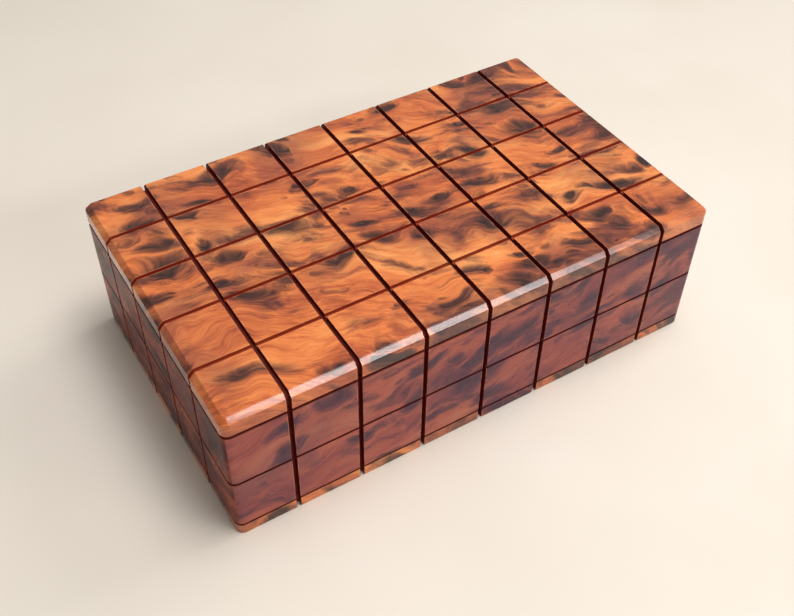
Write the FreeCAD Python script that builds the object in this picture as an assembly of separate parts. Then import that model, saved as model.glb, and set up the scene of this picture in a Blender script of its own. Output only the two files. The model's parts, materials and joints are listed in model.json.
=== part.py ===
"""Wooden puzzle box with a hidden key drawer, a sliding keyhole cover, a lock and a hinged lid.

Millimetres. The box stands on z = 0, centred on x and y, with its long side along x,
its front at -y and its hinges at +y. Sawn grooves divide every face into tiles.
"""

import FreeCAD, Part
import math
import os

# Box
length = 200.0
depth = 122.0
height = 61.0
lid_thickness = 8.0
joint_gap = 0.3
base_thickness = 4.6
corner_radius = 3.0
lid_edge_slope = 2.0
lid_edge_round = 0.6
lid_underside_slope = 0.8
edge_chamfer = 0.2

# Grooves
columns = 8
rows = 5
end_column_loss = 2.4
wide_groove = 1.75
wide_depth = 2.0
narrow_groove = 1.5
narrow_depth = 1.2
row_line_height = 28.3
row_line = 1.0
row_line_depth = 1.0
base_line = 0.8
base_line_depth = 0.8

# Fits
slide_clearance = 0.25
seat_clearance = 0.1
pin_clearance = 0.05
peg_clearance = 0.02

# Sliding keyhole cover
cover_column = 5
cover_tail = 2.5
cover_flare = 1.2
cover_travel = 24.0
cover_peg_radius = 2.0
cover_peg_height = 12.0
cover_slot_depth = 2.0

# Lock
lock_web = 2.25
lock_width = 36.0
lock_height = 22.0
lock_floor_gap = 6.1
lock_depth = 6.0
lock_sheet = 0.8
selvage_thickness = 1.0
selvage_overhang = 7.0
backplate_thickness = 1.0
backplate_overhang = 6.0
backplate_screw_rise = 7.3
keyhole_drop = 12.7
keyhole_radius = 2.7
keyhole_slot = 2.6
keyhole_slot_length = 7.6
drill_pin_radius = 1.0
bolt_thickness = 2.6
bolt_height = 5.5
bolt_length = 17.0
bolt_drop = 2.7
bolt_travel = 5.0
bolt_nose_height = 3.2
bolt_nose_length = 5.0
talon_width = 5.0
talon_depth = 1.4
stud_radius = 0.9
stud_spacing = 8.0
staple_thickness = 2.6
staple_width = 4.0
staple_reach = 8.6
staple_eye_margin = 0.4
staple_clearance = 0.5
link_plate_length = 34.0
link_plate_width = 6.0
link_plate_thickness = 1.2
spring_thickness = 0.4
spring_width = 2.4
spring_length = 15.0

# Key
key_shank_radius = 2.2
key_shank_length = 22.0
key_bore_depth = 11.0
key_bow_radius = 6.0
key_bow_hole = 3.4
key_bow_thickness = 2.4
key_bit_length = 5.0
key_bit_reach = 6.6
key_bit_thickness = 2.0
key_ward_width = 1.0
key_ward_depth = 2.0
key_collar_radius = 3.0
key_collar_length = 1.6
key_play = 1.5

# Key drawer
drawer_front = 4.5
tray_wall = 2.5
tray_floor = 3.0
drawer_tail = 15.0
drawer_peg_radius = 1.5
drawer_peg_seat = 3.0
drawer_slot_depth = 1.6
runner_width = 8.0
stop_block_length = 8.0
floor_thickness = 4.0
floor_dado = 3.0

# Hinges
hinge_end_distance = 40.0
hinge_length = 26.0
hinge_leaf = 8.0
hinge_sheet = 1.0
hinge_barrel_radius = 1.75
hinge_pin_radius = 0.9
hinge_inset = 3.0
hinge_bevel = 50.0
hinge_screw_spacing = 17.4
knuckles = 3
knuckle_gap = 0.15

# Wood screws
screw_head_radius = 1.7
screw_radius = 0.9
screw_head_depth = 0.8
screw_slot = 0.5
screw_slot_depth = 0.35
screw_length = 5.5

# Planes worked out from the sizes above
half_x = length / 2
half_y = depth / 2
lid_bottom = height - lid_thickness
wall_top = lid_bottom - joint_gap
cover_thickness = wide_depth + cover_tail
wall = cover_thickness + slide_clearance + lock_web + lock_depth
inner_x = half_x - wall
inner_y = half_y - wall
column_pitch = (length + 2 * end_column_loss) / columns
row_pitch = depth / rows
groove_xs = [(i - columns / 2) * column_pitch for i in range(1, columns)]
groove_ys = [(j - rows / 2) * row_pitch for j in range(1, rows)]
floor_top = wall_top - lock_height - lock_floor_gap
floor_bottom = floor_top - floor_thickness

cover_x = (cover_column - (columns + 1) / 2) * column_pitch
cover_width = column_pitch - wide_groove
cover_back = -half_y + cover_thickness

hinge_x = half_x - hinge_end_distance
hinge_y = half_y - hinge_inset
hinge_z = (wall_top + lid_bottom) / 2
hinge_screw_y = hinge_y - (hinge_leaf + hinge_barrel_radius) / 2

lock_front = -inner_y - lock_depth
lock_middle = -inner_y - lock_depth / 2
lock_bottom = wall_top - lock_height
keyhole_z = wall_top - keyhole_drop
bolt_top = wall_top - bolt_drop
bolt_bottom = bolt_top - bolt_height
bolt_start = cover_x - bolt_length / 2 - bolt_travel
bolt_end = bolt_start + bolt_length
nose_z = bolt_bottom + bolt_height / 2
nose_tip = bolt_end + bolt_nose_length
staple_x = nose_tip + staple_clearance + staple_thickness / 2

key_length = key_shank_length + 2 * key_bow_radius
pocket_length = key_length + 2 * key_play
pocket_width = 2 * key_bow_radius + 2 * key_play
tray_width = pocket_width + 2 * tray_wall
tray_bottom = base_thickness + slide_clearance
tray_top = floor_bottom - slide_clearance
tray_end = half_x - drawer_front
pocket_end = tray_end - tray_wall
pocket_start = pocket_end - pocket_length
tray_start = pocket_start - drawer_tail
drawer_travel = pocket_length + drawer_front + tray_wall
drawer_peg_x = inner_x - 2 * drawer_peg_radius
drawer_peg_foot = base_thickness - drawer_peg_seat
tile_width = row_pitch - narrow_groove
tile_top = row_line_height - row_line / 2
runner_edge = tray_width / 2 + slide_clearance
runner_start = tray_start - slide_clearance - stop_block_length

UP = FreeCAD.Vector(0, 0, 1)
DOWN = FreeCAD.Vector(0, 0, -1)
ALONG = FreeCAD.Vector(1, 0, 0)
INWARD = FreeCAD.Vector(0, 1, 0)
OUTWARD = FreeCAD.Vector(0, -1, 0)
REACH = length + depth + height
SAME_LEVEL = 1e-4
BOTH = (-1, 1)


def box(x0, x1, y0, y1, z0, z1):
    return Part.makeBox(x1 - x0, y1 - y0, z1 - z0, FreeCAD.Vector(x0, y0, z0))


def block(x, half_width, y, half_depth, z0, z1):
    """A box given by its middle and half its size in plan."""
    return box(x - half_width, x + half_width, y - half_depth, y + half_depth, z0, z1)


def rod(radius, x, y, z, axis, span):
    return Part.makeCylinder(radius, span, FreeCAD.Vector(x, y, z), axis)


def prism(points, along):
    """A flat outline, given by its corners, pushed along a vector."""
    corners = [FreeCAD.Vector(*p) for p in points]
    outline = Part.makePolygon(corners + corners[:1])
    return Part.Face(outline).extrude(along)


def level_edges(shape, z):
    """The edges that lie in the horizontal plane at z."""

    def lies_level(edge):
        return max(abs(edge.BoundBox.ZMin - z), abs(edge.BoundBox.ZMax - z)) < SAME_LEVEL

    return [edge for edge in shape.Edges if lies_level(edge)]


def outline_slab(inset, z0, z1):
    """A slab of the box's plan, drawn in by inset, with its upright corners rounded."""
    slab = block(0, half_x - inset, 0, half_y - inset, z0, z1)
    upright = [edge for edge in slab.Edges if edge.BoundBox.ZLength > (z1 - z0) / 2]
    return slab.makeFillet(corner_radius - inset, upright)


def lid_form(inset, z0):
    """The lid's outside, drawn in by inset: a slab with its top edge sloped off at 45 degrees."""
    top = height - inset
    slab = outline_slab(inset, z0, top)
    slope = lid_edge_slope - inset * (2 - math.sqrt(2))
    return slab.makeChamfer(slope, level_edges(slab, top))


def wall_core(inset):
    return outline_slab(inset, -REACH, REACH)


def lid_core(inset):
    return lid_form(inset, -REACH)


def saw_cuts(core):
    """Wide grooves across the box and narrow ones along it, as deep as the core that they leave."""
    half_wide = wide_groove / 2
    half_narrow = narrow_groove / 2
    wide_core = core(wide_depth)
    narrow_core = core(narrow_depth)
    wide = [block(x, half_wide, 0, REACH, -REACH, REACH).cut(wide_core) for x in groove_xs]
    narrow = [block(0, REACH, y, half_narrow, -REACH, REACH).cut(narrow_core) for y in groove_ys]
    return wide + narrow


def level_groove(z0, z1, inset):
    """A groove that runs right round the box between two heights."""
    band = block(0, REACH, 0, REACH, z0, z1)
    return band.cut(outline_slab(inset, z0, z1))


def line_grooves():
    """The groove between the two tile rows, and the one where the walls meet the base."""
    half = row_line / 2
    between_rows = level_groove(row_line_height - half, row_line_height + half, row_line_depth)
    above_base = level_groove(base_thickness, base_thickness + base_line, base_line_depth)
    return [between_rows, above_base]


def body_form():
    """Everything below the lid in one piece with its outside edges and lines, before it is divided."""
    body = outline_slab(0, 0, wall_top)
    body = body.makeChamfer(edge_chamfer, level_edges(body, wall_top) + level_edges(body, 0))
    return body.cut(line_grooves())


def screw(x, y, z, into, span):
    """A slotted countersunk screw whose head lies flush at the given point."""
    head = Part.makeCone(screw_head_radius, screw_radius, screw_head_depth, FreeCAD.Vector(x, y, z), into)
    body = head.fuse(rod(screw_radius, x, y, z, into, span))
    across = 2 * screw_head_radius
    half_depth = across if into.z else screw_slot_depth
    half_height = screw_slot_depth if into.z else across
    return body.cut(block(x, screw_slot / 2, y, half_depth, z - half_height, z + half_height))


def screws(places):
    return Part.makeCompound([screw(*place) for place in places])


def screw_hole(x, y, z, into, span):
    """The countersunk hole that takes a screw, a little larger all round and open at its mouth."""
    point = FreeCAD.Vector(x, y, z)
    head = screw_head_radius + pin_clearance
    shank = screw_radius + pin_clearance
    cone = Part.makeCone(head, shank, screw_head_depth + pin_clearance, point, into)
    mouth = rod(head, x, y, z, into.negative(), screw_head_depth)
    return cone.fuse([rod(shank, x, y, z, into, span + pin_clearance), mouth])


def screw_holes(places):
    return [screw_hole(*place) for place in places]


def lock_screw_places():
    """Mouth, direction and length of the screws that hold the lock."""
    side = (lock_width + selvage_overhang) / 2
    plate_side = (lock_width + backplate_overhang) / 2
    plate_y = -inner_y + backplate_thickness
    plate_z = lock_bottom + backplate_screw_rise
    places = [(cover_x + s * side, lock_middle, wall_top, DOWN, screw_length) for s in BOTH]
    return places + [(cover_x + s * plate_side, plate_y, plate_z, OUTWARD, screw_length) for s in BOTH]


def link_screw_places():
    """Mouth, direction and length of the screws that hold the link plate under the lid."""
    side = link_plate_length / 2 - 2 * screw_head_radius
    return [(cover_x + s * side, lock_middle, lid_bottom, UP, screw_length) for s in BOTH]


def hinge_screw_places(z, into):
    """Mouth, direction and length of one set of hinge screws, two in each leaf."""
    xs = [s * hinge_x + t * hinge_screw_spacing / 2 for s in BOTH for t in BOTH]
    return [(x, hinge_screw_y, z, into, screw_length) for x in xs]


def cover_outline(play):
    """The keyhole cover's section: a straight face between two grooves and a dovetail behind it."""
    face = cover_width / 2 + play
    tail = face + cover_flare
    shoulder = -half_y + wide_depth
    back = cover_back + play
    right = [(cover_x + face, -half_y - play), (cover_x + face, shoulder), (cover_x + tail, back)]
    left = [(2 * cover_x - x, y) for x, y in reversed(right)]
    return right + left


def cover_channel():
    """The dovetail channel that the cover slides in."""
    points = [(x, y, -REACH / 2) for x, y in cover_outline(slide_clearance)]
    return prism(points, UP * REACH)


def cover_peg_hole():
    return rod(cover_peg_radius + peg_clearance, cover_x, -half_y, cover_peg_height, INWARD, wall)


def keyhole(y, span):
    """A round hole with a slot below it, cut along y."""
    half = keyhole_slot / 2
    slot = box(cover_x - half, cover_x + half, y, y + span, keyhole_z - keyhole_slot_length, keyhole_z)
    return rod(keyhole_radius, cover_x, y, keyhole_z, INWARD, span).fuse(slot)


def lock_body(play):
    """The lock's outside: a case with a longer selvage on top."""
    half = lock_width / 2 + play
    wide = lock_width / 2 + selvage_overhang + play
    front = lock_front - play
    case = box(cover_x - half, cover_x + half, front, -inner_y, lock_bottom - play, wall_top)
    selvage_z = wall_top - selvage_thickness - play
    return case.fuse(box(cover_x - wide, cover_x + wide, front, -inner_y, selvage_z, wall_top))


def drawer_tile(play):
    """The space of the drawer's tile in the right wall, with play round it."""
    half = tile_width / 2 + play
    return box(tray_end - play, half_x, -half, half, tray_bottom - play, tile_top + play)


def hinge_bevel_cut(side):
    """The slope behind the hinge axis, above it for side 1 and below it for side -1."""
    run = hinge_inset + corner_radius
    rise = side * run * math.tan(math.radians(hinge_bevel))
    section = [(hinge_y, hinge_z), (hinge_y + run, hinge_z), (hinge_y + run, hinge_z + rise)]
    return prism([(-half_x, y, z) for y, z in section], ALONG * length)


def hinge_level(side, thickness):
    """Bottom and top of a layer that lies against the joint, on the lid for side 1 or the walls for -1."""
    if side > 0:
        return lid_bottom, lid_bottom + thickness
    return wall_top - thickness, wall_top


def hinge_seats(side):
    """Room in the wood for both hinges' leaves and barrels, above or below the joint."""
    seats = []
    half = hinge_length / 2 + seat_clearance
    front = hinge_y - hinge_leaf - seat_clearance
    low, high = hinge_level(side, hinge_sheet + seat_clearance)
    barrel_room = hinge_barrel_radius + slide_clearance
    for middle in (-hinge_x, hinge_x):
        seats.append(box(middle - half, middle + half, front, hinge_y, low, high))
        seats.append(rod(barrel_room, middle - half, hinge_y, hinge_z, ALONG, 2 * half))
    return seats


def wall_ring():
    """All four walls in one piece, with grooves outside and a groove for the false floor inside."""
    inside = block(0, inner_x, 0, inner_y, -REACH, REACH)
    dado = floor_dado + seat_clearance
    floor_groove = block(0, inner_x + dado, 0, inner_y + dado, floor_bottom, floor_top)
    below = block(0, REACH, 0, REACH, -REACH, base_thickness)
    return body_form().cut([inside, floor_groove, below, hinge_bevel_cut(-1)] + saw_cuts(wall_core))


def mitred(ring, toward_x, toward_y):
    """The wall of the ring on one side, cut off at 45 degrees at both ends."""
    far_x = inner_x + REACH
    far_y = inner_y + REACH
    if toward_x:
        points = [(inner_x, -inner_y), (far_x, -far_y), (far_x, far_y), (inner_x, inner_y)]
    else:
        points = [(-inner_x, inner_y), (-far_x, far_y), (far_x, far_y), (inner_x, inner_y)]
    turn = toward_x + toward_y
    return ring.common(prism([(turn * x, turn * y, 0) for x, y in points], UP * height))


def front_wall(ring):
    cuts = [cover_channel(), lock_body(seat_clearance), keyhole(-half_y, wall), cover_peg_hole()]
    return mitred(ring, 0, -1).cut(cuts + screw_holes(lock_screw_places()))


def back_wall(ring):
    return mitred(ring, 0, 1).cut(hinge_seats(-1) + screw_holes(hinge_screw_places(wall_top, DOWN)))


def left_wall(ring):
    return mitred(ring, -1, 0)


def right_wall(ring):
    tunnel = box(0, half_x, -runner_edge, runner_edge, base_thickness, floor_bottom)
    return mitred(ring, 1, 0).cut([drawer_tile(slide_clearance), tunnel])


def base_board():
    board = outline_slab(0, 0, base_thickness)
    board = board.makeChamfer(edge_chamfer, level_edges(board, 0))
    peg_hole = rod(drawer_peg_radius + peg_clearance, drawer_peg_x, 0, drawer_peg_foot, UP, base_thickness)
    return board.cut(saw_cuts(wall_core) + [cover_channel(), peg_hole])


def false_floor():
    return block(0, inner_x + floor_dado, 0, inner_y + floor_dado, floor_bottom, floor_top)


def lid_board():
    """The lid, with its sloped top edge softened and its underside cut for the hinges and the link plate."""
    lid = lid_form(0, lid_bottom)
    slope_edges = level_edges(lid, height) + level_edges(lid, height - lid_edge_slope)
    lid = lid.makeFillet(lid_edge_round, slope_edges)
    lid = lid.makeChamfer(lid_underside_slope, level_edges(lid, lid_bottom))
    half = link_plate_length / 2 + seat_clearance
    side = link_plate_width / 2 + seat_clearance
    seat_top = lid_bottom + link_plate_thickness + seat_clearance
    plate_seat = block(cover_x, half, lock_middle, side, lid_bottom, seat_top)
    holes = screw_holes(link_screw_places() + hinge_screw_places(lid_bottom, UP))
    return lid.cut(saw_cuts(lid_core) + [plate_seat, hinge_bevel_cut(1)] + hinge_seats(1) + holes)


def keyhole_cover():
    points = [(x, y, 0) for x, y in cover_outline(0)]
    column = prism(points, UP * wall_top).common(body_form())
    half = cover_peg_radius + slide_clearance
    low = cover_peg_height - half
    high = cover_peg_height + cover_travel + half
    slot_front = cover_back - cover_slot_depth
    return column.cut(box(cover_x - half, cover_x + half, slot_front, cover_back, low, high))


def cover_stop_peg():
    nose = cover_back - cover_slot_depth + slide_clearance
    return rod(cover_peg_radius, cover_x, nose, cover_peg_height, INWARD, -inner_y - nose)


def lock_case():
    half = lock_width / 2 - lock_sheet
    front = lock_front + lock_sheet
    cavity_top = wall_top - selvage_thickness
    cavity = box(cover_x - half, cover_x + half, front, -inner_y, lock_bottom + lock_sheet, cavity_top)
    slot_x = staple_thickness / 2 + staple_clearance
    slot_y = staple_width / 2 + staple_clearance
    slot = block(staple_x, slot_x, lock_middle, slot_y, bolt_top, wall_top)
    cuts = [cavity, slot, keyhole(lock_front, lock_sheet)]
    return lock_body(0).cut(cuts + screw_holes(lock_screw_places()))


def lock_backplate():
    half = lock_width / 2 + backplate_overhang
    low = lock_bottom - selvage_thickness
    inner_face = -inner_y + backplate_thickness
    plate = box(cover_x - half, cover_x + half, -inner_y, inner_face, low, wall_top - selvage_thickness)
    return plate.cut(screw_holes(lock_screw_places()))


def lock_drill_pin():
    return rod(drill_pin_radius, cover_x, lock_front, keyhole_z, INWARD, lock_depth)


def stud_places():
    """Where the bolt's two guide studs stand, at the right ends of its slots."""
    middle = (bolt_start + bolt_end + bolt_travel) / 2
    return [middle + s * stud_spacing / 2 for s in BOTH]


def lock_guide_studs():
    front = lock_front + lock_sheet
    studs = [rod(stud_radius, x, front, nose_z, INWARD, lock_depth - lock_sheet) for x in stud_places()]
    return Part.makeCompound(studs)


def lock_bolt():
    """The bolt: a bar with a nose, a notch below for the key and a slot for each stud."""
    front = lock_middle - bolt_thickness / 2
    back = lock_middle + bolt_thickness / 2
    bar = box(bolt_start, bolt_end, front, back, bolt_bottom, bolt_top)
    nose_half = bolt_nose_height / 2
    nose = box(bolt_end, nose_tip, front, back, nose_z - nose_half, nose_z + nose_half)
    talon_start = cover_x - (bolt_travel + talon_width) / 2
    talon_top = bolt_bottom + talon_depth
    cuts = [box(talon_start, talon_start + talon_width, front, back, bolt_bottom, talon_top)]
    half = stud_radius + seat_clearance
    for x in stud_places():
        cuts.append(box(x - bolt_travel - half, x + half, front, back, nose_z - half, nose_z + half))
    return bar.fuse(nose).cut(cuts)


def lock_spring():
    """A bowed leaf between the bolt and the selvage: its middle bears up and its ends bear down."""
    low = bolt_top + pin_clearance
    high = wall_top - selvage_thickness - pin_clearance
    start = bolt_start + seat_clearance
    y = lock_middle - spring_width / 2

    def bow(lift):
        left = FreeCAD.Vector(start, y, low + lift)
        crown = FreeCAD.Vector(start + spring_length / 2, y, high - spring_thickness + lift)
        right = FreeCAD.Vector(start + spring_length, y, low + lift)
        return Part.Arc(left, crown, right).toShape()

    lower = bow(0)
    upper = bow(spring_thickness)
    ends = [Part.LineSegment(a.Point, b.Point).toShape() for a, b in zip(lower.Vertexes, upper.Vertexes)]
    outline = Part.Wire(Part.__sortEdges__([lower, upper] + ends))
    return Part.Face(outline).extrude(INWARD * spring_width)


def link_plate():
    """The plate under the lid, with a staple that hangs into the lock and has an eye for the bolt's nose."""
    top = lid_bottom + link_plate_thickness
    plate = block(cover_x, link_plate_length / 2, lock_middle, link_plate_width / 2, lid_bottom, top)
    thin = staple_thickness / 2
    staple = block(staple_x, thin, lock_middle, staple_width / 2, lid_bottom - staple_reach, top)
    eye_y = bolt_thickness / 2 + staple_eye_margin
    eye_z = bolt_nose_height / 2 + staple_eye_margin
    eye = block(staple_x, thin, lock_middle, eye_y, nose_z - eye_z, nose_z + eye_z)
    return plate.fuse(staple).cut([eye] + screw_holes(link_screw_places()))


def key():
    """A barrel key lying flat along the drawer, bit inwards and bow towards the drawer's front."""
    axis_z = tray_bottom + tray_floor + key_collar_radius + seat_clearance
    start = pocket_start + key_play
    bow_x = start + key_shank_length + key_bow_radius
    into_bow = (key_bow_radius - key_bow_hole) / 2
    shank = rod(key_shank_radius, start, 0, axis_z, ALONG, key_shank_length + into_bow)
    bow_z = axis_z - key_bow_thickness / 2
    bow = rod(key_bow_radius, bow_x, 0, bow_z, UP, key_bow_thickness)
    bow = bow.cut(rod(key_bow_hole, bow_x, 0, bow_z, UP, key_bow_thickness))
    low = axis_z - key_bit_thickness / 2
    high = axis_z + key_bit_thickness / 2
    bit = box(start, start + key_bit_length, 0, key_bit_reach, low, high)
    ward_x = start + (key_bit_length - key_ward_width) / 2
    ward_y = key_bit_reach - key_ward_depth
    ward = box(ward_x, ward_x + key_ward_width, ward_y, key_bit_reach, low, high)
    collar_x = start + key_shank_length - 2 * key_collar_length
    collar = rod(key_collar_radius, collar_x, 0, axis_z, ALONG, key_collar_length)
    bore = rod(drill_pin_radius + pin_clearance, start, 0, axis_z, ALONG, key_bore_depth)
    return shank.fuse([bow, bit, collar]).cut([bore, ward])


def key_drawer_front():
    return drawer_tile(0).common(body_form())


def key_drawer_tray():
    """The tray behind the drawer's tile, with a pocket for the key and a slot below for the stop peg."""
    half = tray_width / 2
    tray = box(tray_start, tray_end, -half, half, tray_bottom, tray_top)
    inner = pocket_width / 2
    pocket = box(pocket_start, pocket_end, -inner, inner, tray_bottom + tray_floor, tray_top)
    play = drawer_peg_radius + slide_clearance
    slot_start = drawer_peg_x - drawer_travel - play
    slot_top = tray_bottom + drawer_slot_depth
    slot = box(slot_start, drawer_peg_x + play, -play, play, tray_bottom, slot_top)
    return tray.cut([pocket, slot])


def drawer_stop_peg():
    top = tray_bottom + drawer_slot_depth - slide_clearance
    return rod(drawer_peg_radius, drawer_peg_x, 0, drawer_peg_foot, UP, top - drawer_peg_foot)


def drawer_runner(side):
    middle = side * (runner_edge + runner_width / 2)
    half = runner_width / 2
    return box(runner_start, inner_x, middle - half, middle + half, base_thickness, floor_bottom)


def drawer_stop_block():
    end = runner_start + stop_block_length
    return box(runner_start, end, -runner_edge, runner_edge, base_thickness, floor_bottom)


def knuckle_spans(middle, side):
    """Start and end of a leaf's knuckles along the hinge: the lid has the odd ones, the wall the others."""
    step = hinge_length / knuckles
    first = middle - hinge_length / 2
    own = [k for k in range(knuckles) if (k % 2 == 1) == (side > 0)]
    return [(first + k * step + knuckle_gap / 2, first + (k + 1) * step - knuckle_gap / 2) for k in own]


def hinge_leaf_piece(middle, side):
    """One leaf: the lid's for side 1, the wall's for side -1, with its own knuckles on the pin."""
    start = middle - hinge_length / 2
    front = hinge_y - hinge_leaf
    low, high = hinge_level(side, hinge_sheet)
    leaf = box(start, start + hinge_length, front, hinge_y, low, high)
    leaf = leaf.cut(rod(hinge_barrel_radius + seat_clearance, start, hinge_y, hinge_z, ALONG, hinge_length))
    for knuckle_start, knuckle_end in knuckle_spans(middle, side):
        span = knuckle_end - knuckle_start
        barrel = rod(hinge_barrel_radius, knuckle_start, hinge_y, hinge_z, ALONG, span)
        web = box(knuckle_start, knuckle_end, front, hinge_y, low, high)
        leaf = leaf.fuse([barrel, web])
    places = hinge_screw_places(high, DOWN) if side < 0 else hinge_screw_places(low, UP)
    pin_hole = rod(hinge_pin_radius + pin_clearance, start, hinge_y, hinge_z, ALONG, hinge_length)
    return leaf.cut(screw_holes(places) + [pin_hole]).removeSplitter()


def hinge_pin(middle):
    return rod(hinge_pin_radius, middle - hinge_length / 2, hinge_y, hinge_z, ALONG, hinge_length)


def all_parts():
    """Every sub-part by its name."""
    ring = wall_ring()
    parts = {
        "base_board": base_board(),
        "front_wall": front_wall(ring),
        "back_wall": back_wall(ring),
        "left_wall": left_wall(ring),
        "right_wall": right_wall(ring),
        "false_floor": false_floor(),
        "lid_board": lid_board(),
        "keyhole_cover": keyhole_cover(),
        "cover_stop_peg": cover_stop_peg(),
        "key_drawer_front": key_drawer_front(),
        "key_drawer_tray": key_drawer_tray(),
        "drawer_runner_front": drawer_runner(-1),
        "drawer_runner_rear": drawer_runner(1),
        "drawer_stop_block": drawer_stop_block(),
        "drawer_stop_peg": drawer_stop_peg(),
        "key": key(),
        "lock_case": lock_case(),
        "lock_backplate": lock_backplate(),
        "lock_drill_pin": lock_drill_pin(),
        "lock_guide_studs": lock_guide_studs(),
        "lock_bolt": lock_bolt(),
        "lock_spring": lock_spring(),
        "lock_screws": screws(lock_screw_places()),
        "link_plate": link_plate(),
        "link_plate_screws": screws(link_screw_places()),
        "hinge_wall_screws": screws(hinge_screw_places(wall_top, DOWN)),
        "hinge_lid_screws": screws(hinge_screw_places(lid_bottom, UP)),
    }
    for name, middle in (("left", -hinge_x), ("right", hinge_x)):
        parts[f"hinge_{name}_wall_leaf"] = hinge_leaf_piece(middle, -1)
        parts[f"hinge_{name}_lid_leaf"] = hinge_leaf_piece(middle, 1)
        parts[f"hinge_{name}_pin"] = hinge_pin(middle)
    return parts


def main():
    os.makedirs("parts", exist_ok=True)
    for name, shape in all_parts().items():
        shape.exportStep(f"parts/{name}.step")


main()
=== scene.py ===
"""Looks, light and camera for the wooden puzzle box.

The solids are shown as they are, with softened edges on the outside wood, and every piece gets a procedural
material. Lengths in the materials are millimetres and noise scales are per millimetre. Edges, camera, lamps
and floor are in metres.
"""

import json
import math
import bpy
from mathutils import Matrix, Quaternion, Vector

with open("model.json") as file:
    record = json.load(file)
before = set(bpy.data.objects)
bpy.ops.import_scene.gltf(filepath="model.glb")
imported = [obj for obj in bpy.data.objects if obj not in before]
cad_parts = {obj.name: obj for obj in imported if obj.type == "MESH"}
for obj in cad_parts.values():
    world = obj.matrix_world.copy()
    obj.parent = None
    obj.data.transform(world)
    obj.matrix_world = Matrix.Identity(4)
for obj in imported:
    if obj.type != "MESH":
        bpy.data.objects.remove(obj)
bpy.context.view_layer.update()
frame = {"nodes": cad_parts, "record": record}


def srgb(red, green, blue):
    """A display colour of 0 to 255 as the linear colour that a shader takes, by the sRGB curve."""

    def linear(channel):
        value = channel / 255
        return value / 12.92 if value <= 0.04045 else ((value + 0.055) / 1.055) ** 2.4

    return (linear(red), linear(green), linear(blue), 1.0)


# Camera, in metres and degrees, with its lens and sensor in millimetres
CAMERA_PLACE = (-0.1583, -0.2542, 0.3115)
CAMERA_AIM = (-0.01195, -0.02013, 0.030)
CAMERA_ROLL = -0.83
CAMERA_LENS = 47.3
CAMERA_SENSOR = 36.0
CAMERA_CLIP = 0.01

# Softened edges, in metres and degrees
WELD_DISTANCE = 1e-6
EDGE_SOFTENING = 0.00035
EDGE_SEGMENTS = 2
EDGE_ANGLE = 38.0

# Light: places and sizes in metres, power in watts, roll in degrees
WHITE = (1.0, 1.0, 1.0)
BOX_MIDDLE = (0, 0, 0.03)
LID_FRONT_EDGE = (-0.02, -0.06, 0.06)
LAMPS = {
    "window": dict(place=(1.9, 0.2, 1.41), aim=BOX_MIDDLE, size=(1.0, 1.2), power=13.2,
                   colour=(1.0, 0.98, 0.95), roll=0.0),
    "overhead": dict(place=(0.12, -0.12, 0.9), aim=BOX_MIDDLE, size=(0.4, 0.4), power=4.65,
                     colour=WHITE, roll=0.0),
    "front_strip": dict(place=(0.29, -0.715, 0.568), aim=LID_FRONT_EDGE, size=(0.66, 0.06), power=2.15,
                        colour=WHITE, roll=22.5),
}
SKY_COLOUR = (1.0, 0.97, 0.92, 1.0)
SKY_FADE = {"From Min": -0.9, "From Max": 0.3, "To Min": 0.18, "To Max": 0.45}

# Floor, a little below the box so that the two share no face
FLOOR_SIZE = 6.0
FLOOR_DROP = 0.0001
FLOOR_NOISE = (0.01, 3.0)
FLOOR_TONES = ((0.3, srgb(232, 222, 208)), (0.7, srgb(238, 229, 217)))
FLOOR_ROUGHNESS = 0.7

# Grooves, as the solids have them, and each level line's height and half width
COLUMN_PITCH = 25.6
ROW_PITCH = 24.4
WIDE_HALF = 0.875
NARROW_HALF = 0.75
# The level lines are the joints, where painted shade is laid
LID_LINE = (53.15, 0.65)
ROW_LINE = (28.3, 0.5)
BASE_LINE = (5.0, 0.4)

# Soft edge of a groove's stain and painted shade, and width of the rim beside it, painted paler as wear and
# as a painted highlight
GROOVE_SOFTNESS = 0.15
RIM_WIDTH = 0.2

# Narrow grooves lie within this distance of the middle, and end by the second one
NARROW_SPAN = 45.0
NARROW_SPAN_END = 46.0

# The outside, a little deeper than the grooves: past these distances from the middle, or above this level
OUTSIDE_X = 97.9
OUTSIDE_Y = 58.7
OUTSIDE_Z = 57.5
OUTSIDE_SOFTNESS = 0.1

# The axes that run along a plank's grain, across it and into it
FLAT = ("x", "y", "z")
FACING_Y = ("x", "z", "y")
FACING_X = ("y", "z", "x")

# Each plank's place in the figure, the turn of its grain in degrees, how much darker it is (on the left wall
# mostly painted shade), how strong a purple painted sheen of reflected light lies over it, how glossy it is,
# and how much more the eyes crowd with each millimetre along it
LID_WOOD = dict(axes=FLAT, shift=(0, 0, 0), turn=20, darker_tone_and_shade=0.0, painted_sheen=0.0, gloss=0.6, lean=0.0022)
BASE_WOOD = dict(axes=FLAT, shift=(-150, -410, 0), turn=8, darker_tone_and_shade=0.0, painted_sheen=0.0, gloss=0.5, lean=0.0)
FRONT_WOOD = dict(axes=FACING_Y, shift=(310, 40, 0), turn=-12, darker_tone_and_shade=0.0, painted_sheen=0.7, gloss=0.3, lean=0.0036)
BACK_WOOD = dict(axes=FACING_Y, shift=(-240, 160, 0), turn=15, darker_tone_and_shade=0.05, painted_sheen=0.2, gloss=0.5, lean=0.001)
# The left wall's extra darkness is painted shade, as that end faces away from the light
LEFT_WOOD = dict(axes=FACING_X, shift=(80, -330, 0), turn=10, darker_tone_and_shade=0.27, painted_sheen=0.25, gloss=0.1, lean=0.0)
RIGHT_WOOD = dict(axes=FACING_X, shift=(420, 270, 0), turn=-15, darker_tone_and_shade=0.08, painted_sheen=0.2, gloss=0.4, lean=0.0)

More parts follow.
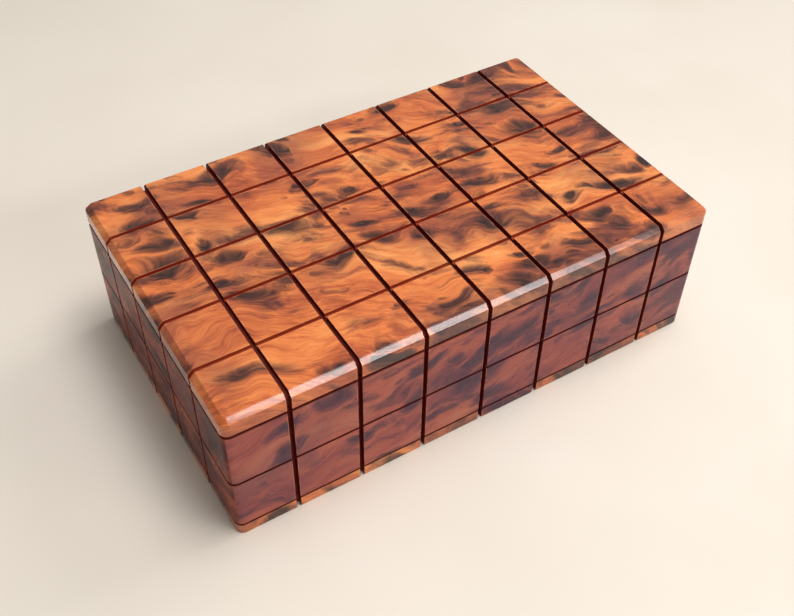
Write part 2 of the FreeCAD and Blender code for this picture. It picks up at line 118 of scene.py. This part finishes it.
OUTSIDE_WOOD = {
    "lid_board": LID_WOOD,
    "base_board": BASE_WOOD,
    "front_wall": FRONT_WOOD,
    "keyhole_cover": FRONT_WOOD,
    "back_wall": BACK_WOOD,
    "left_wall": LEFT_WOOD,
    "right_wall": RIGHT_WOOD,
    "key_drawer_front": RIGHT_WOOD,
}

# Middle of a noise's range
NOISE_MIDDLE = 0.5

# Noises of the burl: scale, detail and, where it isn't the usual, roughness
SWAY_NOISE = (0.03, 2.0)
CURL_NOISE = (0.11, 3.0)
CROWD_NOISE = (0.022, 1.0)
BROAD_NOISE = (0.07, 2.0)
LINE_NOISE = (0.42, 3.0, 0.55)
FIBRE_NOISE = (2.0, 3.0, 0.6)
ZONE_NOISE = (0.03, 2.0)
STREAK_NOISE = (0.12, 4.0, 0.6)
PORE_NOISE = (2.6, 2.0)
RIM_WEAR_AND_HIGHLIGHT_NOISE = (0.25, 3.0)
SHEEN_NOISE = (0.12, 4.0)
SKIN_NOISE = (0.3, 3.0)

# How far the burl's grain is pushed about, and how its fields are drawn out along it
DEPTH_SHARES = (0.25, 0.7, 0.12)
SWAY_REACH = (26.0, 26.0, 0.0)
CURL_REACH = (3.6, 3.6, 0.0)
EYE_BULGE = 6.0
EYE_DRAW = (0.45, 1.0, 1.0)
FLOW_DRAW = (0.28, 1.0, 1.0)
FIBRE_DRAW = (0.3, 1.0, 1.0)
STREAK_DRAW = (0.42, 1.0, 1.0)

# Eyes of the burl: spacing, reach as a share of it, the smallest as a share of the largest,
# how far they stray from a grid, and how much rarer the small ones are
LARGE_EYE_SPACING = 11.5
SMALL_EYE_SPACING = 6.0
EYE_REACH = 0.54
EYE_SMALLEST = 0.5
EYE_STRAY = 0.72
SMALL_EYE_RARITY = 0.28

# Smooth steps of the burl: from a range, and to a range where that isn't 0 to 1
CROWD_STEP = (0.36, 0.6, 0.42, 0.92)
EYE_STEP = (0.95, 1.05)
ZONE_STEP = (0.46, 0.72, 0.0, 0.7)
VEIL_STEP = (0.46, 0.68, 0.0, 0.9)
LINE_STEP = (0.35, 0.7)
HALO_STEP = (0.0, 0.6, 0.0, 0.5)
EYE_EDGE_STEP = (0.0, 0.35)
LARGE_SMOKE_STEP = (0.05, 0.8, 0.0, 0.93)
SMALL_SMOKE_STEP = (0.05, 0.9, 0.0, 0.7)
PORE_STEP = (0.62, 0.74, 0.0, 0.3)
RIM_WEAR_AND_HIGHLIGHT_STEP = (0.42, 0.62, 0.0, 0.45)
SHEEN_STEP = (0.3, 0.7, 0.26, 0.38)

# Weights of the burl's fields
FIGURE_LEVEL = 0.62
BROAD_WEIGHT = 0.9
LINE_WEIGHT = 0.42
FIBRE_WEIGHT = 0.42
VEIL_CROWD_LEVEL = 0.7
VEIL_CROWD_WEIGHT = 0.22
FEATHER_WEIGHT = 1.1
# Share of the painted sheen that is laid on as a fill
PAINTED_SHEEN_FILL_SHARE = 1 / 3

# Colours of the burl
FIGURE_TONES = (
    (0.14, srgb(78, 36, 30)),
    (0.32, srgb(132, 61, 41)),
    (0.48, srgb(186, 91, 50)),
    (0.64, srgb(226, 126, 66)),
    (0.9, srgb(247, 166, 96)),
)
ZONE_TONES = (srgb(108, 52, 46), srgb(160, 84, 62))
VEIL_TONES = (srgb(70, 34, 35), srgb(122, 58, 47))
KNOT_TONES = (srgb(34, 18, 20), srgb(92, 47, 37))
HALO_COLOUR = srgb(112, 54, 44)
PORE_COLOUR = srgb(84, 40, 28)
# Painted sheen: a purple painted reflection over the walls, as a tint and a fill
PAINTED_SHEEN_TINT = srgb(184, 144, 188)
PAINTED_SHEEN_FILL = srgb(118, 74, 112)
# Paler rims beside the grooves: partly wear, partly a painted highlight where the edges catch the light
RIM_WEAR_AND_HIGHLIGHT_COLOUR = srgb(236, 168, 120)

# Colours painted in the grooves and level lines, as strength and colour: the grooves' own reddish stain
# darkened with painted shade, and painted shade in the joint lines
NARROW_STAIN_AND_SHADE = (0.85, srgb(150, 46, 20))
LINE_PAINTED_SHADE = (0.85, srgb(92, 26, 18))
WIDE_STAIN_AND_SHADE = (0.94, srgb(104, 20, 10))

# Lacquer; a bump is its strength, and its height in metres
GROOVE_ROUGHNESS = 0.7
SPECULAR_PER_GLOSS = 0.4
COAT_ROUGHNESS = 0.09
SKIN_FIBRE = 0.3
SKIN_BUMP = (0.07, 0.0004)

# Bare wood of the inside
BEND_NOISE = (0.02, 2.0)
BEND_REACH = (6.0, 6.0, 6.0)
BAND_NOISE = (0.22, 3.0, 0.55)
BAND_DRAW = (0.025, 1.0, 1.0)
BARE_FIBRE_NOISE = (2.4, 3.0, 0.6)
BARE_FIBRE_DRAW = (0.02, 1.0, 1.0)
BARE_FIBRE_WEIGHT = 0.5
BARE_PORE_NOISE = (2.0, 3.0)
BARE_PORE_DRAW = (0.12, 1.0, 1.0)
BARE_PORE_STEP = (0.64, 0.74, 0.0, 0.45)
BARE_PORE_COLOUR = srgb(112, 72, 44)
BARE_TONES = (
    (0.28, srgb(150, 101, 62)),
    (0.5, srgb(186, 137, 90)),
    (0.74, srgb(207, 164, 116)),
)
BARE_SHEEN_STEP = (0.3, 0.7, 0.66, 0.55)
BARE_BUMP = (0.12, 0.0001)

# Metals
BRASS = dict(bright=srgb(236, 200, 134), dull=srgb(188, 144, 88), roughness=0.3)
STEEL = dict(bright=srgb(196, 196, 198), dull=srgb(120, 120, 124), roughness=0.34)
RUB_NOISE = (1.4, 4.0, 0.6)
RUB_DRAW = (0.2, 3.0, 3.0)
RUB_RANGE = (0.3, 0.7)
RUB_SMOOTHER = 0.08
RUB_ROUGHER = 0.1
RUB_BUMP = (0.06, 0.0001)
TARNISH_NOISE = (0.16, 4.0, 0.6)
TARNISH_RANGE = (0.35, 0.62)


class Shader:
    """A material and short ways to add nodes to it."""

    MILLIMETRES_PER_METRE = 1000.0

    # Places of the colour sockets on a Mix node
    MIX_FIRST_COLOUR = 6
    MIX_SECOND_COLOUR = 7
    MIX_COLOUR_RESULT = 2

    def __init__(self, name):
        self.material = bpy.data.materials.new(name)
        self.material.use_nodes = True
        self.tree = self.material.node_tree
        self.surface = self.tree.nodes["Principled BSDF"]

    def add(self, kind, **settings):
        node = self.tree.nodes.new(kind)
        for key, value in settings.items():
            setattr(node, key, value)
        return node

    def feed(self, socket, value):
        if isinstance(value, bpy.types.NodeSocket):
            self.tree.links.new(value, socket)
        else:
            socket.default_value = value

    def set(self, name, value):
        self.feed(self.surface.inputs[name], value)

    def math(self, operation, first, second=0.0, clamp=False):
        node = self.add("ShaderNodeMath", operation=operation, use_clamp=clamp)
        self.feed(node.inputs[0], first)
        self.feed(node.inputs[1], second)
        return node.outputs[0]

    def plus(self, first, second):
        return self.math("ADD", first, second)

    def minus(self, first, second, clamp=False):
        return self.math("SUBTRACT", first, second, clamp)

    def times(self, first, second):
        return self.math("MULTIPLY", first, second)

    def larger(self, first, second):
        return self.math("MAXIMUM", first, second)

    def unsigned(self, value):
        return self.math("ABSOLUTE", value)

    def swing(self, field, weight):
        """A noise as its distance from the middle of its range, times a weight."""
        return self.times(self.minus(field, NOISE_MIDDLE), weight)

    def vector(self, operation, first, second):
        node = self.add("ShaderNodeVectorMath", operation=operation)
        self.feed(node.inputs[0], first)
        self.feed(node.inputs[1], second)
        return node.outputs[0]

    def moved(self, point, offset):
        return self.vector("ADD", point, offset)

    def scaled(self, point, factors):
        return self.vector("MULTIPLY", point, factors)

    def drift(self, point, noise, reach):
        """An offset of up to half of reach either way, which varies from point to point."""
        middle = (NOISE_MIDDLE, NOISE_MIDDLE, NOISE_MIDDLE)
        offset = self.vector("SUBTRACT", self.noise(point, *noise, output="Color"), middle)
        return self.scaled(offset, reach)

    def split(self, vector):
        node = self.add("ShaderNodeSeparateXYZ")
        self.feed(node.inputs[0], vector)
        return node.outputs

    def combine(self, *parts):
        node = self.add("ShaderNodeCombineXYZ")
        for socket, part in zip(node.inputs, parts):
            self.feed(socket, part)
        return node.outputs[0]

    def stretch(self, value, low, high, to_low=0.0, to_high=1.0):
        """A smooth step of a value from one range to another."""
        node = self.add("ShaderNodeMapRange", interpolation_type="SMOOTHSTEP")
        self.feed(node.inputs["Value"], value)
        for name, number in (("From Min", low), ("From Max", high), ("To Min", to_low), ("To Max", to_high)):
            self.feed(node.inputs[name], number)
        return node.outputs["Result"]

    def noise(self, point, scale, detail, roughness=0.5, output="Fac"):
        node = self.add("ShaderNodeTexNoise")
        self.feed(node.inputs["Vector"], point)
        self.feed(node.inputs["Scale"], scale)
        self.feed(node.inputs["Detail"], detail)
        self.feed(node.inputs["Roughness"], roughness)
        return node.outputs[output]

    def cells(self, point, spacing, stray):
        """Scattered points: how far the nearest one is, and a random colour for each."""
        node = self.add("ShaderNodeTexVoronoi", feature="F1", voronoi_dimensions="2D")
        self.feed(node.inputs["Vector"], point)
        self.feed(node.inputs["Scale"], 1.0 / spacing)
        self.feed(node.inputs["Randomness"], stray)
        return node.outputs["Distance"], node.outputs["Color"]

    def ramp(self, factor, stops):
        node = self.add("ShaderNodeValToRGB")
        self.feed(node.inputs["Fac"], factor)
        elements = node.color_ramp.elements
        while len(elements) < len(stops):
            elements.new(1.0)
        for element, (position, colour) in zip(elements, stops):
            element.position = position
            element.color = colour
        return node.outputs["Color"]

    def mix(self, factor, first, second, blend="MIX"):
        node = self.add("ShaderNodeMix", data_type="RGBA", blend_type=blend)
        self.feed(node.inputs["Factor"], factor)
        self.feed(node.inputs[self.MIX_FIRST_COLOUR], first)
        self.feed(node.inputs[self.MIX_SECOND_COLOUR], second)
        return node.outputs[self.MIX_COLOUR_RESULT]

    def bump(self, field, strength, height):
        node = self.add("ShaderNodeBump")
        self.feed(node.inputs["Height"], field)
        self.feed(node.inputs["Strength"], strength)
        self.feed(node.inputs["Distance"], height)
        self.set("Normal", node.outputs["Normal"])

    def millimetres(self):
        """The point's place on its piece, in millimetres."""
        place = self.add("ShaderNodeTexCoord").outputs["Object"]
        return self.scaled(place, (self.MILLIMETRES_PER_METRE,) * 3)


def near(shader, distance, half):
    """1 within half of zero, falling off softly just outside."""
    return shader.stretch(shader.unsigned(distance), half, half + GROOVE_SOFTNESS, 1.0, 0.0)


def rim(shader, distance, half):
    """1 on a groove's rim, 0 in the groove and away from it."""
    return shader.minus(near(shader, distance, half + RIM_WIDTH), near(shader, distance, half))


def past(shader, distance, limit):
    """1 from the limit on, rising softly just before it."""
    return shader.stretch(distance, limit - OUTSIDE_SOFTNESS, limit)


def groove_masks(shader, place):
    """How far a point lies in a wide groove, a narrow one, a level line or on a rim, on the outside only."""
    x, y, z = shader.split(place)
    on_end = past(shader, shader.unsigned(x), OUTSIDE_X)
    on_side = past(shader, shader.unsigned(y), OUTSIDE_Y)
    outside = shader.larger(shader.larger(on_end, on_side), past(shader, z, OUTSIDE_Z))
    inland = shader.stretch(shader.unsigned(y), NARROW_SPAN, NARROW_SPAN_END, 1.0, 0.0)
    outside_inland = shader.times(outside, inland)
    to_column = shader.math("PINGPONG", x, COLUMN_PITCH / 2)
    to_row = shader.math("PINGPONG", shader.minus(y, ROW_PITCH / 2), ROW_PITCH / 2)
    wide = shader.times(near(shader, to_column, WIDE_HALF), outside)
    narrow = shader.times(near(shader, to_row, NARROW_HALF), outside_inland)
    wide_rim = shader.times(rim(shader, to_column, WIDE_HALF), outside)
    narrow_rim = shader.times(rim(shader, to_row, NARROW_HALF), outside_inland)
    line = 0.0
    for height, half in (LID_LINE, ROW_LINE, BASE_LINE):
        line = shader.larger(line, near(shader, shader.minus(z, height), half))
    return wide, narrow, shader.times(line, outside), shader.larger(wide_rim, narrow_rim)


def plank_place(shader, place, axes, shift, turn):
    """Where a point lies on its plank: along the grain, across it, and a share of the depth in each."""
    parts = dict(zip("xyz", shader.split(place)))
    along, across, deep = (parts[axis] for axis in axes)
    into_along, into_across, into_deep = (shader.times(deep, share) for share in DEPTH_SHARES)
    point = shader.combine(shader.plus(along, into_along), shader.plus(across, into_across), into_deep)
    turned = shader.add("ShaderNodeVectorRotate", rotation_type="Z_AXIS")
    shader.feed(turned.inputs["Vector"], shader.moved(point, shift))
    shader.feed(turned.inputs["Angle"], math.radians(turn))
    return turned.outputs[0]


def eye_field(shader, point, crowd, spacing):
    """Knots of the burl drawn out along the grain: 1 at the middle of one, 0 outside its reach."""
    distance, colour = shader.cells(shader.scaled(point, EYE_DRAW), spacing, EYE_STRAY)
    chance, width, _ = shader.split(colour)
    reach = shader.stretch(width, 0.0, 1.0, EYE_REACH * EYE_SMALLEST, EYE_REACH)
    inward = shader.minus(1.0, shader.math("DIVIDE", distance, reach), clamp=True)
    present = shader.stretch(shader.plus(chance, crowd), *EYE_STEP)
    return shader.times(inward, present)


class Grain:
    """The fields that the burl's figure is drawn with: bent points, eyes, and lines that flow round them."""

    def __init__(self, shader, plank, lean):
        self.swayed = shader.moved(plank, shader.drift(plank, SWAY_NOISE, SWAY_REACH))
        self.curled = shader.moved(self.swayed, shader.drift(plank, CURL_NOISE, CURL_REACH))
        self.crowd = shader.plus(shader.stretch(shader.noise(plank, *CROWD_NOISE), *CROWD_STEP), lean)
        small_crowd = shader.minus(self.crowd, SMALL_EYE_RARITY)
        self.large = eye_field(shader, self.curled, self.crowd, LARGE_EYE_SPACING)
        self.small = eye_field(shader, self.curled, small_crowd, SMALL_EYE_SPACING)
        bulge = shader.combine(0.0, shader.times(shader.larger(self.large, self.small), EYE_BULGE), 0.0)
        self.flow = shader.scaled(shader.moved(self.curled, bulge), FLOW_DRAW)
        self.broad = shader.noise(self.flow, *BROAD_NOISE)
        self.lines = shader.noise(self.flow, *LINE_NOISE)
        self.fibre = shader.noise(shader.scaled(self.flow, FIBRE_DRAW), *FIBRE_NOISE)


def burl_figure(shader, grain, darker_tone_and_shade):
    """The bare burl's colour, darkened by the plank's tone and painted shade: toned lines, dull zones, a
    smoky veil, eyes with their halos, and pores.
    """
    # A darker plank starts lower; on the left wall this is painted shade
    value = FIGURE_LEVEL - darker_tone_and_shade
    weights = ((grain.broad, BROAD_WEIGHT), (grain.lines, LINE_WEIGHT), (grain.fibre, FIBRE_WEIGHT))
    for field, weight in weights:
        value = shader.plus(value, shader.swing(field, weight))
    figure = shader.ramp(value, FIGURE_TONES)

    zone = shader.stretch(shader.noise(grain.swayed, *ZONE_NOISE), *ZONE_STEP)
    figure = shader.mix(zone, figure, shader.mix(grain.fibre, *ZONE_TONES))

    light = shader.stretch(grain.lines, *LINE_STEP)
    streaks = shader.noise(shader.scaled(grain.curled, STREAK_DRAW), *STREAK_NOISE)
    crowding = shader.times(shader.minus(grain.crowd, VEIL_CROWD_LEVEL), VEIL_CROWD_WEIGHT)
    veil = shader.stretch(shader.plus(streaks, crowding), *VEIL_STEP)
    figure = shader.mix(veil, figure, shader.mix(light, *VEIL_TONES))

    figure = shader.mix(shader.stretch(grain.large, *HALO_STEP), figure, HALO_COLOUR)
    feather = shader.swing(grain.lines, FEATHER_WEIGHT)
    knot = shader.mix(light, *KNOT_TONES)
    for eyes, smoke_step in ((grain.large, LARGE_SMOKE_STEP), (grain.small, SMALL_SMOKE_STEP)):
        smoke = shader.stretch(shader.minus(eyes, feather), *smoke_step)
        inside = shader.stretch(eyes, *EYE_EDGE_STEP)
        figure = shader.mix(shader.times(smoke, inside), figure, knot)

    pores = shader.stretch(shader.noise(grain.flow, *PORE_NOISE), *PORE_STEP)
    return shader.mix(pores, figure, PORE_COLOUR)


def stain_and_shade_grooves(shader, place, figure):
    """The figure with paler rims, partly wear and partly painted highlight, and grooves and level lines
    darkened with stain and painted shade, and how far each point is so darkened.
    """
    wide, narrow, line, rims = groove_masks(shader, place)
    rim_wear_and_highlight = shader.stretch(shader.noise(place, *RIM_WEAR_AND_HIGHLIGHT_NOISE), *RIM_WEAR_AND_HIGHLIGHT_STEP)
    # Rims painted paler, partly as wear and partly as a painted highlight
    colour = shader.mix(shader.times(rims, rim_wear_and_highlight), figure, RIM_WEAR_AND_HIGHLIGHT_COLOUR)
    # Grooves darkened with their stain and painted shade, and level lines with painted shade
    for mask, (strength, stain_or_shade) in ((narrow, NARROW_STAIN_AND_SHADE), (line, LINE_PAINTED_SHADE), (wide, WIDE_STAIN_AND_SHADE)):
        colour = shader.mix(shader.times(mask, strength), colour, stain_or_shade)
    return colour, shader.larger(shader.larger(wide, narrow), line)


def lacquer(shader, place, plank, fibre, stain_and_shade_mask, gloss):
    """A glossy coat that leaves out the grooves and level lines painted with stain and shade, over a
    slightly uneven skin.
    """
    rough = shader.stretch(shader.noise(plank, *SHEEN_NOISE), *SHEEN_STEP)
    shader.set("Roughness", shader.larger(rough, shader.times(stain_and_shade_mask, GROOVE_ROUGHNESS)))
    shader.set("Specular IOR Level", SPECULAR_PER_GLOSS * gloss)
    shader.set("Coat Weight", shader.times(shader.minus(1.0, stain_and_shade_mask), gloss))
    shader.set("Coat Roughness", COAT_ROUGHNESS)
    skin = shader.plus(shader.noise(place, *SKIN_NOISE), shader.times(fibre, SKIN_FIBRE))
    shader.bump(skin, *SKIN_BUMP)


def burl_wood(name, axes, shift, turn, darker_tone_and_shade, painted_sheen, gloss, lean):
    """Lacquered burl: flowing lines bent round smoky dark eyes, fine fibres, a purple painted sheen, and
    grooves and level lines darkened with stain and painted shade.
    """
    shader = Shader(name)
    place = shader.millimetres()
    plank = plank_place(shader, place, axes, shift, turn)
    along = shader.split(place)["xyz".index(axes[0])]
    grain = Grain(shader, plank, shader.times(along, lean))
    figure = burl_figure(shader, grain, darker_tone_and_shade)
    # A purple painted reflection of the lacquer's sheen over the wood, which also darkens it: a tint, then a
    # fill
    figure = shader.mix(painted_sheen, figure, PAINTED_SHEEN_TINT, "MULTIPLY")
    figure = shader.mix(painted_sheen * PAINTED_SHEEN_FILL_SHARE, figure, PAINTED_SHEEN_FILL)
    colour, stain_and_shade_mask = stain_and_shade_grooves(shader, place, figure)
    shader.set("Base Color", colour)
    lacquer(shader, place, plank, grain.fibre, stain_and_shade_mask, gloss)
    return shader.material


def plain_wood(name):
    """Bare straight-grained wood for the inside: slow bands, fine fibres and short pores."""
    shader = Shader(name)
    place = shader.millimetres()
    bent = shader.moved(place, shader.drift(place, BEND_NOISE, BEND_REACH))
    bands = shader.noise(shader.scaled(bent, BAND_DRAW), *BAND_NOISE)
    fibre = shader.noise(shader.scaled(bent, BARE_FIBRE_DRAW), *BARE_FIBRE_NOISE)
    pores = shader.noise(shader.scaled(bent, BARE_PORE_DRAW), *BARE_PORE_NOISE)
    tone = shader.plus(bands, shader.swing(fibre, BARE_FIBRE_WEIGHT))
    colour = shader.ramp(tone, BARE_TONES)
    shader.set("Base Color", shader.mix(shader.stretch(pores, *BARE_PORE_STEP), colour, BARE_PORE_COLOUR))
    shader.set("Roughness", shader.stretch(tone, *BARE_SHEEN_STEP))
    shader.bump(fibre, *BARE_BUMP)
    return shader.material


def metal(name, bright, dull, roughness):
    """Satin metal with fine rubbing marks and a little tarnish."""
    shader = Shader(name)
    place = shader.millimetres()
    rub = shader.noise(shader.scaled(place, RUB_DRAW), *RUB_NOISE)
    tarnish = shader.noise(place, *TARNISH_NOISE)
    shader.set("Base Color", shader.ramp(tarnish, tuple(zip(TARNISH_RANGE, (dull, bright)))))
    shader.set("Metallic", 1.0)
    smoothest = roughness - RUB_SMOOTHER
    roughest = roughness + RUB_ROUGHER
    shader.set("Roughness", shader.stretch(rub, *RUB_RANGE, smoothest, roughest))
    shader.bump(rub, *RUB_BUMP)
    return shader.material


def soften_edges(piece):
    """Round off the sharp edges a little, so that they catch the light, and keep the faces flat."""
    weld = piece.modifiers.new("weld", "WELD")
    weld.merge_threshold = WELD_DISTANCE
    bevel = piece.modifiers.new("soft edges", "BEVEL")
    bevel.width = EDGE_SOFTENING
    bevel.segments = EDGE_SEGMENTS
    bevel.limit_method = "ANGLE"
    bevel.angle_limit = math.radians(EDGE_ANGLE)
    flat = piece.modifiers.new("flat faces", "WEIGHTED_NORMAL")
    flat.keep_sharp = True


def dress_nodes():
    """Give every node its material, and soft edges where it is outside wood."""
    slot_of = {entry["node"]: entry["material_slot"] for entry in frame["record"]["subparts"]}
    shared = {
        "plain_wood": plain_wood("plain_wood"),
        "brass": metal("brass", **BRASS),
        "steel": metal("steel", **STEEL),
    }
    for name, piece in frame["nodes"].items():
        if name in OUTSIDE_WOOD:
            material = burl_wood(name + "_wood", **OUTSIDE_WOOD[name])
            soften_edges(piece)
        else:
            material = shared[slot_of[name]]
        piece.data.materials.clear()
        piece.data.materials.append(material)


def add_floor():
    """A plain pale floor, faintly mottled."""
    bpy.ops.mesh.primitive_plane_add(size=FLOOR_SIZE, location=(0, 0, -FLOOR_DROP))
    floor = bpy.context.object
    floor.name = "floor"
    shader = Shader("pale_floor")
    mottle = shader.noise(shader.millimetres(), *FLOOR_NOISE)
    shader.set("Base Color", shader.ramp(mottle, FLOOR_TONES))
    shader.set("Roughness", FLOOR_ROUGHNESS)
    floor.data.materials.append(shader.material)


def place_and_aim(thing, place, aim, roll):
    """Put a lamp or camera in the scene, turned to its aim and rolled clockwise as it looks."""
    sight = (Vector(aim) - Vector(place)).normalized()
    thing.location = place
    thing.rotation_mode = "QUATERNION"
    thing.rotation_quaternion = Quaternion(sight, math.radians(roll)) @ sight.to_track_quat("-Z", "Y")
    bpy.context.collection.objects.link(thing)


def add_lamp(name, place, aim, size, power, colour, roll):
    """A rectangular lamp."""
    data = bpy.data.lights.new(name, "AREA")
    data.shape = "RECTANGLE"
    data.size, data.size_y = size
    data.energy = power
    data.color = colour
    place_and_aim(bpy.data.objects.new(name, data), place, aim, roll)


def add_sky():
    """Soft warm light from all round, which fades towards the left."""
    world = bpy.data.worlds.new("soft_sky")
    bpy.context.scene.world = world
    world.use_nodes = True
    nodes = world.node_tree.nodes
    links = world.node_tree.links
    sky = nodes["Background"]
    sky.inputs["Color"].default_value = SKY_COLOUR
    place = nodes.new("ShaderNodeTexCoord")
    split = nodes.new("ShaderNodeSeparateXYZ")
    fade = nodes.new("ShaderNodeMapRange")
    for name, number in SKY_FADE.items():
        fade.inputs[name].default_value = number
    links.new(place.outputs["Generated"], split.inputs[0])
    links.new(split.outputs["X"], fade.inputs["Value"])
    links.new(fade.outputs["Result"], sky.inputs["Strength"])


def add_camera():
    """The camera at the photo's viewing angle."""
    data = bpy.data.cameras.new("camera")
    data.sensor_fit = "HORIZONTAL"
    data.sensor_width = CAMERA_SENSOR
    data.lens = CAMERA_LENS
    data.clip_start = CAMERA_CLIP
    camera = bpy.data.objects.new("camera", data)
    place_and_aim(camera, CAMERA_PLACE, CAMERA_AIM, CAMERA_ROLL)
    bpy.context.scene.camera = camera


dress_nodes()
add_floor()
add_sky()
for lamp_name, lamp in LAMPS.items():
    add_lamp(lamp_name, **lamp)
add_camera()
bpy.context.scene.view_settings.view_transform = "Standard"
